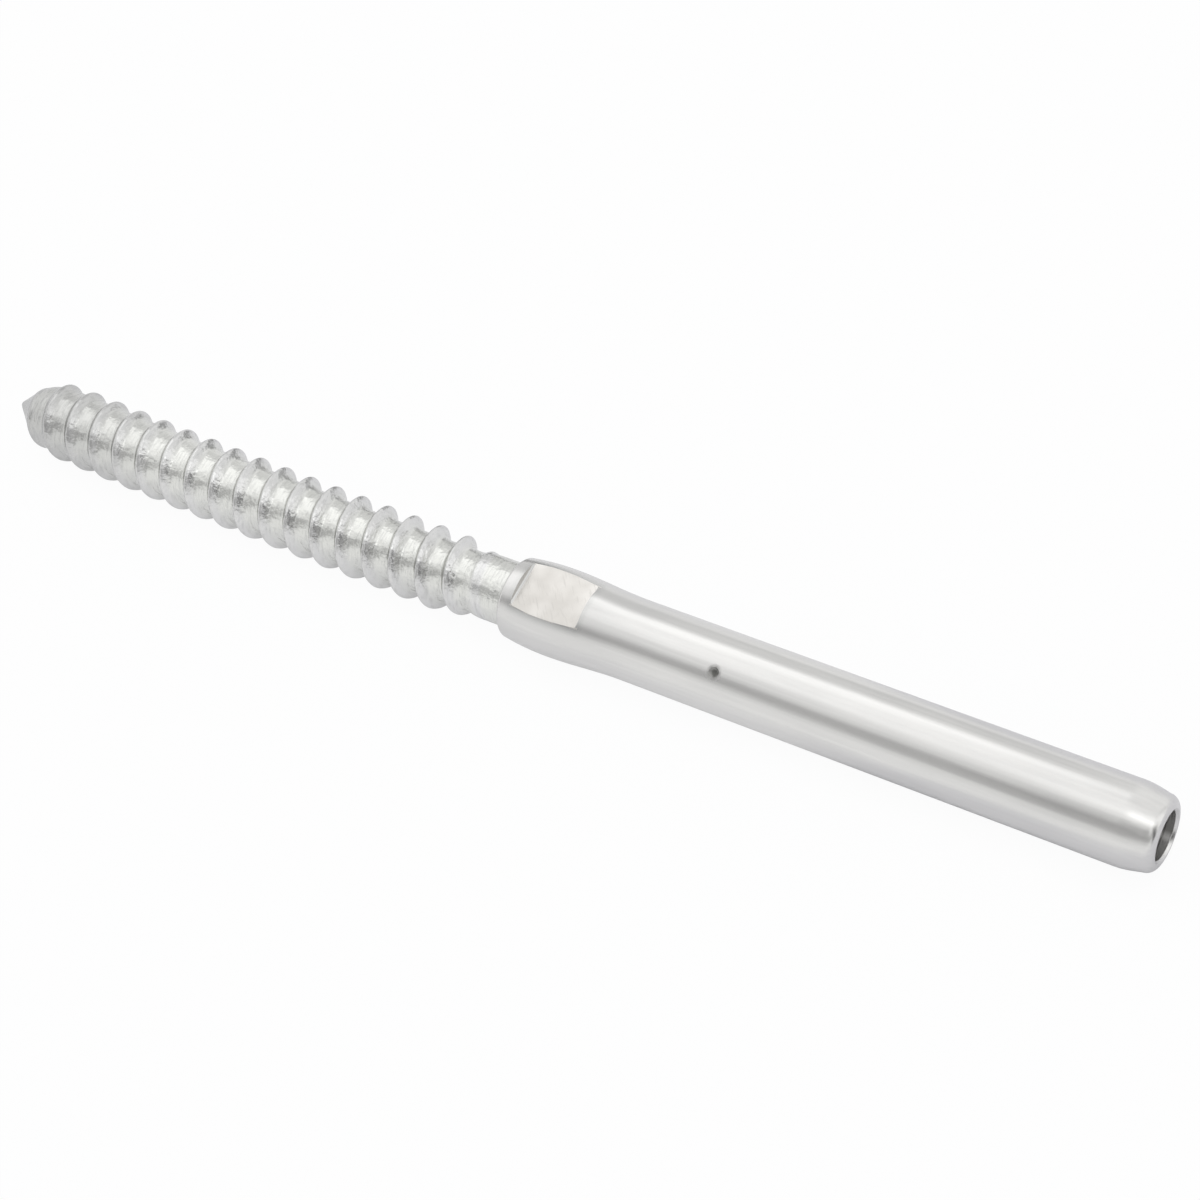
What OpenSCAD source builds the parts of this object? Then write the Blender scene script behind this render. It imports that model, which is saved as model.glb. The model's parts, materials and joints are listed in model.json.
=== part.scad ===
// Lag screw swage terminal: a tube that is pressed onto a cable, a collar with two spanner flats
// and a coarse wood thread, all made from one round bar of stainless steel.
// The axis of the bar is X. The origin is on the axis, at the shoulder where the screw's neck meets
// the collar. The mouth of the tube is at +X, the point of the screw at -X, and the flats face +Z and -Z.

/* [Cable tube] */
// Outside diameter of the tube
tube_d = 6.35; // [6:0.05:7]
// Length of the plain tube, from its mouth to where the collar starts to rise
tube_length = 42.4; // [40:0.2:60]
// Diameter of the bore that the cable goes into
bore_d = 3.7; // [2.8:0.1:4]
// Depth of the bore at its full diameter
bore_depth = 38; // [25:0.5:40]
// Full angle of the drill point at the bottom of the bore
drill_point_angle = 118; // [90:2:140]
// Width of the bevel that leads the cable into the bore
lead_in = 0.1; // [0.05:0.05:0.4]
// Radius of the rounded outer rim at the mouth
mouth_rounding = 0.9; // [0.3:0.05:0.95]
// How much the radius of the tube shrinks towards its mouth
mouth_taper = 0.3; // [0:0.05:0.35]
// Length of that gentle taper
mouth_taper_length = 2; // [1:0.2:12]

/* [Collar and flats] */
// How far the collar stands out from the tube at its fullest point
collar_rise = 0.31; // [0.1:0.01:0.6]
// Length of the slow swell from the tube to the collar's fullest point
collar_swell = 6.8; // [5:0.2:12]
// Length of the quicker fall from the fullest point to the shoulder
collar_fall = 3.8; // [3:0.1:6]
// Radius of the rounded edge of the shoulder
shoulder_rounding = 0.3; // [0.1:0.05:0.4]
// Size of the spanner that fits, measured across the two flats
across_flats = 5.5; // [5:0.1:6]
// Length of each flat along the axis
flat_length = 5.9; // [3:0.1:7]
// Distance from the shoulder to the near end of the flats
flat_setback = 1.2; // [0.8:0.1:2.5]

/* [Neck] */
// Diameter of the plain neck between the shoulder and the thread
neck_d = 5.1; // [5:0.05:5.8]
// Length of the plain neck
neck_length = 2.4; // [1.5:0.1:8]
// Radius of the fillet between the neck and the shoulder
neck_fillet = 0.25; // [0.1:0.05:0.4]

/* [Lag thread] */
// Distance from the shoulder to the tip of the point
screw_length = 50.8; // [30:0.2:80]
// Outside diameter over the crests
thread_d = 6.4; // [6:0.05:7]
// Diameter at the bottom of the thread, where it is deepest
root_d = 4.6; // [4:0.05:4.8]
// How much the radius at the bottom grows towards the tip, where the thread gets shallower
root_growth = 0.5; // [0:0.05:0.6]
// Length over which it grows
root_growth_length = 40; // [20:1:60]
// Distance from one crest to the next
pitch = 2.54; // [2.2:0.02:3.2]
// Width of the rounded ridge of the thread at its foot
ridge_width = 1.5; // [1.2:0.1:2.4]
// Length over which the roots sink from the neck to their full depth
root_run_in = 1.8; // [1:0.1:5]
// Length over which the crests rise from the neck to their full height
crest_run_in = 4; // [2:0.1:8]
// Turn of the thread about the axis
thread_turn = 25; // [0:1:360]
// Full angle of the point
point_angle = 82; // [60:2:100]
// Radius of the blunt nose at the very tip
nose_r = 0.4; // [0.3:0.05:1]
// Share of the point's radius that is left under the thread, which thins out on the point
point_core = 0.95; // [0.75:0.01:0.97]
// Sideways bow of the rolled screw, which grows towards its end and fades out over the point
screw_bow = 0.9; // [0:0.1:1.5]

/* [Punch mark] */
// Width of the small round dent in the tube
mark_d = 0.8; // [0.4:0.05:1.2]
// Depth of the dent
mark_depth = 0.2; // [0.1:0.05:0.3]
// Distance of the dent from the mouth
mark_from_mouth = 34.3; // [10:0.1:40]
// Turn of the dent about the axis, from the upper flat's side
mark_turn = 26; // [0:1:360]

/* [Hidden] */

$fn = 96;
steel = [0.76, 0.75, 0.73];
// overshoot of cutting shapes past the faces they cut
past = 1;

tube_r = tube_d / 2;
bore_r = bore_d / 2;
neck_r = neck_d / 2;
thread_r = thread_d / 2;
root_r = root_d / 2;
mouth_r = tube_r - mouth_taper;
collar_r = tube_r + collar_rise;

// places along the axis, from the shoulder
collar_top_x = collar_fall;
swell_end_x = collar_fall + collar_swell;
mouth_x = swell_end_x + tube_length;
taper_end_x = mouth_x - mouth_rounding;
taper_start_x = taper_end_x - mouth_taper_length;
bore_end_x = mouth_x - bore_depth;

// short straight steps that make up a curved outline
swell_steps = 24;
fall_steps = 14;
taper_steps = 10;

// radius of the collar at a distance x from the shoulder: a parabola that falls to the shoulder,
// and half a cosine wave that swells from the tube
function fall_radius(x) = collar_r - collar_rise * pow((collar_top_x - x) / collar_fall, 2);
function swell_radius(x) = tube_r + collar_rise * (1 + cos(180 * (x - collar_top_x) / collar_swell)) / 2;
function taper_radius(x) = tube_r - mouth_taper * (1 - cos(90 * (x - taper_start_x) / mouth_taper_length));

shoulder_r = fall_radius(shoulder_rounding);

// outline of the tube and the collar, as [radius, place along the axis]
fall_points = [
    for (i = [0 : fall_steps])
        let (x = shoulder_rounding + (collar_top_x - shoulder_rounding) * i / fall_steps)
        [fall_radius(x), x]
];
swell_points = [
    for (i = [1 : swell_steps])
        let (x = collar_top_x + collar_swell * i / swell_steps)
        [swell_radius(x), x]
];
taper_points = [
    for (i = [0 : taper_steps])
        let (x = taper_start_x + mouth_taper_length * i / taper_steps)
        [taper_radius(x), x]
];
bar_points = concat(
    [[0, shoulder_rounding]],
    fall_points,
    swell_points,
    taper_points,
    [[0, taper_end_x]]
);

// turns an outline of [radius, place] about the X axis
module turned() {
    rotate([0, 90, 0]) rotate_extrude() children();
}

// a square end whose outer corner is rounded: r is the outside radius, from and to are its two ends,
// and the rounded corner is at the end called to
module rounded_end(r, from, to, rounding) {
    low = min(from, to);
    inner = to > from ? to - rounding : to + rounding;
    translate([0, low]) square([r - rounding, abs(to - from)]);
    translate([r - rounding, inner]) circle(rounding);
}

module tube_and_collar() {
    turned() {
        polygon(bar_points);
        rounded_end(mouth_r, taper_end_x, mouth_x, mouth_rounding);
        rounded_end(shoulder_r, shoulder_rounding, 0, shoulder_rounding);
    }
}

module cable_bore() {
    tip_length = bore_r / tan(drill_point_angle / 2);
    turned() polygon([
        [0, bore_end_x - tip_length],
        [bore_r, bore_end_x],
        [bore_r, mouth_x - lead_in],
        [bore_r + lead_in + past, mouth_x + past],
        [0, mouth_x + past]
    ]);
}

module spanner_flats() {
    half_flats = across_flats / 2;
    side = 2 * (collar_r + past);
    for (way = [1, -1])
        translate([flat_setback + flat_length / 2, 0, way * (half_flats + side / 2)])
            cube([flat_length, side, side], center = true);
}

module punch_mark() {
    ball_r = (mark_d * mark_d / 4 + mark_depth * mark_depth) / (2 * mark_depth);
    rotate([mark_turn, 0, 0])
        translate([mouth_x - mark_from_mouth, 0, tube_r - mark_depth + ball_r])
            sphere(ball_r);
}

// how deep the start of the thread is hidden inside the neck
thread_inset = 0.12;
// bevel at the end of the neck, which goes down to just under the roots
neck_bevel = neck_r - root_r + thread_inset;
// how far the neck runs on inside the collar
neck_inset = 2 * shoulder_rounding;
// the fillet has only the flat ring of the shoulder to spread on
fillet_r = min(neck_fillet, shoulder_r - shoulder_rounding - neck_r);

module neck() {
    turned() {
        difference() {
            polygon([
                [0, neck_inset],
                [0, -neck_length - neck_bevel],
                [neck_r - neck_bevel, -neck_length - neck_bevel],
                [neck_r, -neck_length],
                [neck_r, -fillet_r],
                [neck_r + fillet_r, -fillet_r],
                [neck_r + fillet_r, 0],
                [neck_r, 0],
                [neck_r, neck_inset]
            ]);
            translate([neck_r + fillet_r, -fillet_r]) circle(fillet_r);
        }
    }
}

// The screw is one net of points wound along its helix. One row goes over the ridge of the thread,
// from its rear foot to its leading foot, and the next row is the same row turned by one step and moved
// on by its share of the pitch. The ridge is one wave of a cosine, and the root between two ridges is flat.
thread_steps = 30;
step_angle = 360 / thread_steps;
widest_ridge = 0.95 * pitch;
half_ridge = min(ridge_width, widest_ridge) / 2;
// places across the ridge, as shares of half its width
row = [-1, -0.65, -0.3, 0, 0.3, 0.65, 1];
row_count = len(row);

// the net starts inside the collar and stops past the tip: what lies beyond is drawn into one point
thread_start = -pitch;
first_row = floor((thread_start - 2 * pitch) / pitch) * thread_steps;
last_row = ceil((screw_length + pitch) / pitch) * thread_steps;
buried_r = neck_r - thread_inset;

function clamp_share(v) = max(0, min(1, v));

// distance of a point of the net from the shoulder, towards the tip
function reach(i, j) = pitch * (i / thread_steps + thread_turn / 360) + half_ridge * row[j];

// height of a point of the net over the root, as a share of the thread's depth
function ridge_share(j) = pow(cos(90 * row[j]), 2);

// round cone with a ball nose, as a radius at a distance t back from the tip
nose_angle = point_angle / 2;
nose_end = nose_r * (1 - sin(nose_angle));
function point_radius(t) =
    t <= 0 ? 0 :
    t < nose_end ? sqrt(nose_r * nose_r - pow(nose_r - t, 2)) :
    nose_r * cos(nose_angle) + (t - nose_end) * tan(nose_angle);

// the smaller of two radii, with a short soft turn where they cross
turn_power = 6;
function soft_least(a, b) =
    a <= 0 ? 0 : a * b / pow(pow(a, turn_power) + pow(b, turn_power), 1 / turn_power);

function crest_radius(d) =
    buried_r + (thread_r - buried_r) * clamp_share((d - neck_length) / crest_run_in);
function grown_root(d) =
    root_r + root_growth * clamp_share(1 - (screw_length - d) / root_growth_length);
function root_radius(d) =
    buried_r + (grown_root(d) - buried_r) * clamp_share((d - neck_length) / root_run_in);

function net_radius(i, j) =
    let (
        d = reach(i, j),
        point = point_radius(screw_length - d),
        root = soft_least(point_core * point, root_radius(d)),
        crest = soft_least(point, crest_radius(d))
    )
    root + (crest - root) * ridge_share(j);

// the screw bends aside as it goes, and its point leans back until the tip lies on the axis
point_length = nose_end + (thread_r - nose_r * cos(nose_angle)) / tan(nose_angle);
function bow(d) =
    screw_bow
    * pow(clamp_share((d - neck_length) / (screw_length - neck_length)), 2)
    * clamp_share((screw_length - d) / point_length);

function net_point(i, j) =
    let (d = reach(i, j), r = net_radius(i, j), a = i * step_angle)
    [-d, bow(d) + r * sin(a), r * cos(a)];

// number of a point of the net: 0 is the hidden end, 1 is the tip
function point_number(i, j) =
    j == row_count ? point_number(i + thread_steps, 0) :
    reach(i, j) <= thread_start ? 0 :
    reach(i, j) >= screw_length ? 1 :
    2 + (i - first_row) * row_count + j;

function apart(a, b, c) = a != b && b != c && c != a;

module lag_thread() {
    net = concat(
        [[-thread_start, 0, 0], [-screw_length, 0, 0]],
        [
            for (i = [first_row : last_row + thread_steps])
                for (j = [0 : row_count - 1])
                    net_point(i, j)
        ]
    );
    faces = [
        for (i = [first_row : last_row - 1])
            for (j = [0 : row_count - 1])
                let (
                    a = point_number(i, j),
                    b = point_number(i, j + 1),
                    c = point_number(i + 1, j + 1),
                    d = point_number(i + 1, j)
                )
                each [
                    if (apart(a, b, c)) [a, b, c],
                    if (apart(a, c, d)) [a, c, d]
                ]
    ];
    polyhedron(net, faces);
}

module swage_terminal() {
    color(steel) {
        difference() {
            tube_and_collar();
            cable_bore();
            spanner_flats();
            punch_mark();
        }
        neck();
        lag_thread();
    }
}

swage_terminal();
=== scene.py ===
# %% [markdown]
# # A lag screw swage terminal
#
# This is an end fitting of a cable railing. A steel cable goes into the bore of the long tube, and the
# tube is pressed tight onto it. The other end is a coarse wood screw, which is turned into a post with
# a spanner on the two flats of the collar. All of it is one bar of stainless steel, so it is modelled
# as one closed mesh, and the lesson is about its true forms and about how steel shows its surroundings.

# %% Load the frame
import json
import math

import bmesh
import bpy
from mathutils import Matrix, Vector


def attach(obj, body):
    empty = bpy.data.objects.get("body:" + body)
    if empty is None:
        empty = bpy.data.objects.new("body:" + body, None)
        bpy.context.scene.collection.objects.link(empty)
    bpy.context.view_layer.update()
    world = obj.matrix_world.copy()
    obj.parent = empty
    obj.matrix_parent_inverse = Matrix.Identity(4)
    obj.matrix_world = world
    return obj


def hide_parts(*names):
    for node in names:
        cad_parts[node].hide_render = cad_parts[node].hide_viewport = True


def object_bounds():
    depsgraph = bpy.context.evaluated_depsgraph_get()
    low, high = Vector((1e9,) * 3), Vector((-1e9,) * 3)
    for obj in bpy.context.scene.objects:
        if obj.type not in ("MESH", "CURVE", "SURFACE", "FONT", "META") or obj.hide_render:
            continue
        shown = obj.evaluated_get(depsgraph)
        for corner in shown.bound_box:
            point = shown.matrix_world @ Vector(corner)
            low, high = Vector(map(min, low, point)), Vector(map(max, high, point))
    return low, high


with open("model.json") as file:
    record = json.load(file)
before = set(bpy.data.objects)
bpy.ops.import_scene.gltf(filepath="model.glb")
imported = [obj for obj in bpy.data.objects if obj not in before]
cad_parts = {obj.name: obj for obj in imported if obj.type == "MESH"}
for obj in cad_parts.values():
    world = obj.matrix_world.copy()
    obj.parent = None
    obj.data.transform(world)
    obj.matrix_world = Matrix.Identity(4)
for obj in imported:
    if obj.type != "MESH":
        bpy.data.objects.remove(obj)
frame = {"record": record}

cad_low, cad_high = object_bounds()
print("CAD box in metres:", tuple(cad_low), tuple(cad_high))

# %% [markdown]
# ## Working in millimetres
#
# The fitting is only as thick as a pencil. Bevels and merges of a few hundredths of a millimetre are
# easier to write and safer to compute when one Blender unit stands for one millimetre, so the mesh is
# modelled at that scale and shrunk to metres once it is closed. The places that other things depend on
# come from the frame: the mouth, the tip, the bore and the flats.

# %% Places that come from the frame
MM = 0.001
mounts = {mount["name"]: mount for mount in frame["record"]["mounts"]}
mouth_x = cad_high.x / MM
tip_x = cad_low.x / MM
bore_r = mounts["cable_bore"]["dims"]["r_mm"]
flat_x = mounts["upper_flat"]["pos_m"][0] / MM
flat_z = mounts["upper_flat"]["pos_m"][2] / MM
print("mouth", round(mouth_x, 2), "tip", round(tip_x, 2), "bore radius", bore_r, "flats at", flat_z)

# %% [markdown]
# ## Drawing an outline by hand
#
# A turned part starts as a line: half of its section. By hand one would place a vertex and extrude it
# from corner to corner, and the first helper does the same. It adds a plane, merges it to one vertex
# and extrudes that vertex along a list of points, each given as a place along the axis and a radius.
# The other two work out the points of an arc and of a softened corner. Bevels could round the corners
# later, but points in the outline give each rounding its exact size.


# %% Helpers for outlines
def drawn_line(name, points):
    """One vertex extruded from point to point, in the plane of X and Z."""
    corners = [Vector((x, 0, r)) for x, r in points]
    bpy.ops.object.select_all(action="DESELECT")
    bpy.ops.mesh.primitive_plane_add(size=1)
    line = bpy.context.object
    line.name = name
    bpy.ops.object.mode_set(mode="EDIT")
    bpy.ops.mesh.select_all(action="SELECT")
    bpy.ops.mesh.merge(type="CENTER")
    bpy.ops.transform.translate(value=corners[0])
    for here, there in zip(corners, corners[1:]):
        bpy.ops.mesh.extrude_region_move(TRANSFORM_OT_translate={"value": there - here})
    bpy.ops.object.mode_set(mode="OBJECT")
    return line


def arc(x, r, radius, start, end, steps):
    """Points of an arc round (x, r). The angles are in degrees, from the axis towards the outside."""
    turns = [math.radians(start + (end - start) * i / steps) for i in range(steps + 1)]
    return [(x + radius * math.cos(a), r + radius * math.sin(a)) for a in turns]


def softened(before, corner, after, reach, steps):
    """Points of a curve that takes the place of a corner between two neighbours."""
    corner = Vector(corner)
    start = corner + (Vector(before) - corner).normalized() * reach
    end = corner + (Vector(after) - corner).normalized() * reach
    curve = []
    for i in range(steps + 1):
        t = i / steps
        curve.append(tuple(start.lerp(corner, t).lerp(corner.lerp(end, t), t)))
    return curve


# %% [markdown]
# ## The mouth of the tube
#
# The tube is plain, but its mouth is drawn in a little and its rim is rounded, so that it slides into a
# swaging tool. The bore has a small lead-in, so that the strands of the cable don't catch. A cylinder
# with bevelled edges would come close, but the taper, the rounding and the flat end follow each other
# without a step when they are points of one line.

# %% Outline the mouth
TUBE_R = 3.175
LEAD_IN = 0.2
RIM_SOFTENING = 0.02
MOUTH_ROUNDING = 0.8
MOUTH_TAPER = 0.3
MOUTH_TAPER_LENGTH = 2.0

mouth_r = TUBE_R - MOUTH_TAPER


def mouth_points():
    """The inner bevel, the flat end and the rounded rim of the mouth."""
    bore_edge = (mouth_x - LEAD_IN, bore_r)
    bevel_edge = (mouth_x, bore_r + LEAD_IN)
    rim_x = mouth_x - MOUTH_ROUNDING
    rim_r = mouth_r - MOUTH_ROUNDING
    return (
        softened((rim_x, bore_r), bore_edge, bevel_edge, RIM_SOFTENING, steps=3)
        + softened(bore_edge, bevel_edge, (mouth_x, rim_r), RIM_SOFTENING, steps=3)
        + arc(rim_x, rim_r, MOUTH_ROUNDING, start=0, end=90, steps=12)
    )


def taper_points(steps=10):
    """From the rim back to where the tube has its full size."""
    end_x = mouth_x - MOUTH_ROUNDING
    shares = [i / steps for i in range(1, steps + 1)]
    return [
        (end_x - MOUTH_TAPER_LENGTH * s, TUBE_R - MOUTH_TAPER * (1 - math.cos(math.pi / 2 * (1 - s))))
        for s in shares
    ]


tube_end = mouth_points() + taper_points()
print("end of the tube:", len(tube_end), "points")

# %% [markdown]
# ## The collar and the neck
#
# Between the tube and the screw the bar swells into a collar, which gives the spanner its hold: slowly
# from the tube, faster down to the shoulder. Then it steps in to the neck of the screw. A Subdivision
# Surface could round the swell, but it would soften the shoulder too. Here the swell is half a wave and
# the fall a parabola, because those meet the tube and each other without a kink.

# %% Outline the collar
COLLAR_RISE = 0.31
COLLAR_SWELL = 6.8
COLLAR_FALL = 3.8
SHOULDER_ROUNDING = 0.3
NECK_R = 2.55
NECK_FILLET = 0.25

collar_r = TUBE_R + COLLAR_RISE


def falling_radius(x):
    """Radius of the collar between its top and the shoulder."""
    return collar_r - COLLAR_RISE * ((COLLAR_FALL - x) / COLLAR_FALL) ** 2


def collar_points(steps=20):
    """The slow swell from the tube, and the quicker fall to the shoulder."""
    shares = [i / steps for i in range(steps + 1)]
    swell = [
        (COLLAR_FALL + COLLAR_SWELL * s, TUBE_R + COLLAR_RISE * (1 + math.cos(math.pi * s)) / 2)
        for s in (1 - share for share in shares)
    ]
    fall = [COLLAR_FALL - (COLLAR_FALL - SHOULDER_ROUNDING) * share for share in shares[1:]]
    return swell + [(x, falling_radius(x)) for x in fall]


def shoulder_points():
    """The rounded shoulder and the fillet at the foot of the neck."""
    round_r = falling_radius(SHOULDER_ROUNDING) - SHOULDER_ROUNDING
    shoulder = arc(SHOULDER_ROUNDING, round_r, SHOULDER_ROUNDING, start=90, end=180, steps=8)
    fillet = arc(-NECK_FILLET, NECK_R + NECK_FILLET, NECK_FILLET, start=0, end=-90, steps=6)
    return shoulder[1:] + fillet


collar_line = collar_points() + shoulder_points()
print("collar:", round(2 * collar_r, 2), "mm across,", len(collar_line), "points")

# %% [markdown]
# ## The whole outline
#
# The bore was drilled, so it ends in the cone that a drill leaves. A hole could be cut into a solid bar
# with a Boolean, but the outline can hold the bore just as well, and then its wall is clean. The line
# starts on the axis at the tip of that cone, runs out of the mouth and back over the outside to the
# neck, where the thread will be joined on.

# %% Draw the outline of the bar
BORE_DEPTH = 38.0
DRILL_POINT_ANGLE = 118.0
NECK_SEAM_X = -1.0

bore_end_x = mouth_x - BORE_DEPTH
drill_tip_x = bore_end_x - bore_r / math.tan(math.radians(DRILL_POINT_ANGLE / 2))
bore_line = [(drill_tip_x, 0), (bore_end_x, bore_r)]
bar = drawn_line("bar", bore_line + tube_end + collar_line + [(NECK_SEAM_X, NECK_R)])
print("bar outline:", len(bar.data.vertices), "points")

# %% [markdown]
# ## Selecting by place
#
# An operator of edit mode acts on what is selected. By hand one would click on it. A script can only
# ask each vertex, edge or face where it lies or which way it faces, so the two helpers below open a
# piece in edit mode and select what passes a test.

# %% Helpers for edit mode
SAME_PLACE = 1e-4


def edit(piece, kind):
    """Opens a piece in edit mode with nothing selected. kind is VERT, EDGE or FACE."""
    bpy.ops.object.select_all(action="DESELECT")
    piece.select_set(True)
    bpy.context.view_layer.objects.active = piece
    bpy.ops.object.mode_set(mode="EDIT")
    bpy.ops.mesh.select_mode(type=kind)
    bpy.ops.mesh.select_all(action="DESELECT")


def select(piece, kind, wanted):
    """In edit mode, selects the elements for which wanted(element) is true, and returns how many."""
    bpy.ops.mesh.select_mode(type=kind)
    bpy.ops.mesh.select_all(action="DESELECT")
    net = bmesh.from_edit_mesh(piece.data)
    elements = {"VERT": net.verts, "EDGE": net.edges, "FACE": net.faces}[kind]
    chosen = [element for element in elements if wanted(element)]
    for element in chosen:
        element.select_set(True)
    net.select_flush_mode()
    bmesh.update_edit_mesh(piece.data)
    return len(chosen)


# %% [markdown]
# ## Turning the bar
#
# The real bar was turned on a lathe. Spin does the same to the line: it carries it once round the axis.
# A Screw modifier without a rise could do it too, but Spin shows its result at once. Its last copy
# lies on its first, and every copy of the drill point lies on the axis, so doubles are merged. The
# neck stays open for now.

# %% Spin the outline
BAR_STEPS = 160

edit(bar, "VERT")
bpy.ops.mesh.select_all(action="SELECT")
bpy.ops.mesh.spin(steps=BAR_STEPS, angle=2 * math.pi, center=(0, 0, 0), axis=(1, 0, 0))
bpy.ops.mesh.select_all(action="SELECT")
bpy.ops.mesh.remove_doubles(threshold=SAME_PLACE)
bpy.ops.mesh.normals_make_consistent(inside=False)
bpy.ops.object.mode_set(mode="OBJECT")
print("turned bar:", len(bar.data.polygons), "faces")

# %% [markdown]
# ## One pitch of the lag thread
#
# A lag thread is rolled, not cut: hardened dies press the grooves in, and the steel that they push
# aside rises into rounded ridges. Triangles would do for a cut thread. Here the outline of one pitch is
# a narrow soft wave between two wide and slightly hollow roots.

# %% Outline one pitch
THREAD_R = 3.2
ROOT_R = 2.3
PITCH = 2.54
RIDGE_WIDTH = 1.4
HOLLOW_SHARE = 0.17
PROFILE_STEPS = 13


def thread_share(u):
    """Height on the thread at a distance from the top of the ridge, 0 in the root and 1 on the ridge."""
    ridge = math.cos(math.pi / 2 * min(1.0, 2 * u / RIDGE_WIDTH)) ** 2
    wave = (1 + math.cos(2 * math.pi * u / PITCH)) / 2
    return (1 - HOLLOW_SHARE) * ridge + HOLLOW_SHARE * wave


distances = [PITCH / 2 * step / PROFILE_STEPS for step in range(PROFILE_STEPS + 1)]
ahead = [(u, ROOT_R + (THREAD_R - ROOT_R) * thread_share(u)) for u in distances]
behind = [(-u, r) for u, r in reversed(ahead[1:])]
one_pitch = behind + ahead
print("one pitch:", len(one_pitch), "points")

# %% [markdown]
# ## Sweeping the thread
#
# The ridge of a screw is one long helix. The Screw modifier carries the outline once round the axis
# while it moves on by one pitch, so its end meets its own beginning, and the sweep can be repeated for
# as many turns as are needed. Rings placed side by side would look alike at a glance, but they would
# never screw in.

# %% Sweep the thread
THREAD_TURN = 25.0
THREAD_STEPS = 96
SPARE_TURNS = 3

turns = math.ceil(-tip_x / PITCH) + SPARE_TURNS
first_crest_x = -PITCH * (turns - SPARE_TURNS + 1 + THREAD_TURN / 360)
thread = drawn_line("thread", [(first_crest_x + u, r) for u, r in one_pitch])
screw = thread.modifiers.new("helix", "SCREW")
screw.axis = "X"
screw.angle = 2 * math.pi
screw.screw_offset = PITCH
screw.iterations = turns
screw.steps = THREAD_STEPS
screw.render_steps = THREAD_STEPS
bpy.ops.object.modifier_apply(modifier=screw.name)
edit(thread, "VERT")
bpy.ops.mesh.select_all(action="SELECT")
bpy.ops.mesh.remove_doubles(threshold=SAME_PLACE)
bpy.ops.object.mode_set(mode="OBJECT")
print("thread:", turns, "turns,", len(thread.data.polygons), "faces")

# %% [markdown]
# ## Run-in and point
#
# Near the neck the grooves start shallow and the crests start low, because the dies press in little by
# little, and at the other end the thread is pinched to a blunt point. A cone could trim the end with a
# Boolean, but that leaves every crest with a sharp step. So the radius of the crests and that of the
# roots are written as two curves along the axis, which turn softly where they meet the point.

# %% Radii of crests and roots
NECK_LENGTH = 2.4
ROOT_RUN_IN = 1.8
CREST_RUN_IN = 4.0
ROOT_GROWTH = 0.5
ROOT_GROWTH_LENGTH = 40.0
POINT_ANGLE = 82.0
NOSE_R = 0.4
POINT_CORE = 0.95
TURN_POWER = 6


def eased(share):
    """0 up to 0, 1 from 1 on, and a soft step in between."""
    share = max(0.0, min(1.0, share))
    return share * share * (3 - 2 * share)


def point_radius(back):
    """Radius of the point at a distance back from its tip: a ball nose on a cone."""
    slope = math.radians(POINT_ANGLE / 2)
    nose_end = NOSE_R * (1 - math.sin(slope))
    if back <= nose_end:
        return math.sqrt(max(0.0, NOSE_R**2 - (NOSE_R - back) ** 2))
    return NOSE_R * math.cos(slope) + (back - nose_end) * math.tan(slope)


def soft_least(first, second):
    """The smaller of two radii, with a short soft turn where they cross."""
    return first * second / (first**TURN_POWER + second**TURN_POWER) ** (1 / TURN_POWER)


def crest_and_root(reach):
    """Radii of the crests and of the roots at a distance from the shoulder."""
    to_tip = -tip_x - reach
    past_neck = reach - NECK_LENGTH
    point = point_radius(to_tip)
    crest = soft_least(point, NECK_R + (THREAD_R - NECK_R) * eased(past_neck / CREST_RUN_IN))
    grown = ROOT_R + ROOT_GROWTH * max(0.0, 1 - to_tip / ROOT_GROWTH_LENGTH)
    root = soft_least(point * POINT_CORE, NECK_R + (grown - NECK_R) * eased(past_neck / ROOT_RUN_IN))
    return crest, root


print("crest and root halfway:", [round(radius, 2) for radius in crest_and_root(-tip_x / 2)])

# %% [markdown]
# ## Shaping the thread
#
# Rolling also left the long screw a little bowed. No operator follows two such curves along a helix, so
# each vertex is moved by rule: its height on the thread is kept as a share between root and crest, and
# then it is shifted by the bow. That share is also kept as an attribute, which the steel of the thread
# uses later. The spare turns past the tip shrink to one point, and the other end is cut off on the neck.

# %% Shape the ends of the thread
SCREW_BOW = 0.9
SEAM_GAP = 0.2


def bow(reach):
    """Sideways shift of the screw at a distance from the shoulder."""
    return SCREW_BOW * max(0.0, (reach - NECK_LENGTH) / (-tip_x - NECK_LENGTH)) ** 2


def shaped(place):
    """(new place, height share) of a vertex of the plain thread."""
    reach = -place.x
    radius = math.hypot(place.y, place.z)
    height = (radius - ROOT_R) / (THREAD_R - ROOT_R)
    if reach >= -tip_x:
        return Vector((tip_x, bow(-tip_x), 0)), height
    crest, root = crest_and_root(reach)
    growth = (root + (crest - root) * height) / radius
    return Vector((place.x, place.y * growth + bow(reach), place.z * growth)), height


heights = thread.data.attributes.new("thread_height", "FLOAT", "POINT")
for vertex, value in zip(thread.data.vertices, heights.data):
    vertex.co, value.value = shaped(vertex.co)

edit(thread, "VERT")
bpy.ops.mesh.select_all(action="SELECT")
bpy.ops.mesh.remove_doubles(threshold=SAME_PLACE)
bpy.ops.mesh.select_all(action="SELECT")
bpy.ops.mesh.bisect(plane_co=(NECK_SEAM_X - SEAM_GAP, 0, 0), plane_no=(1, 0, 0), clear_outer=True)
bpy.ops.object.mode_set(mode="OBJECT")
print("shaped thread:", len(thread.data.polygons), "faces")

# %% [markdown]
# ## One closed piece
#
# The screw was rolled on the same bar, so nothing parts it from the tube. The two meshes are joined,
# and their open rings on the neck are bridged. A Boolean union could merge them as well, but it would
# cut across the fine faces of the neck. The rings have different numbers of vertices, but both lie on
# the same smooth cylinder, so the seam doesn't show. A closed mesh has two faces at every edge, which is
# what the count below tests.


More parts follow.
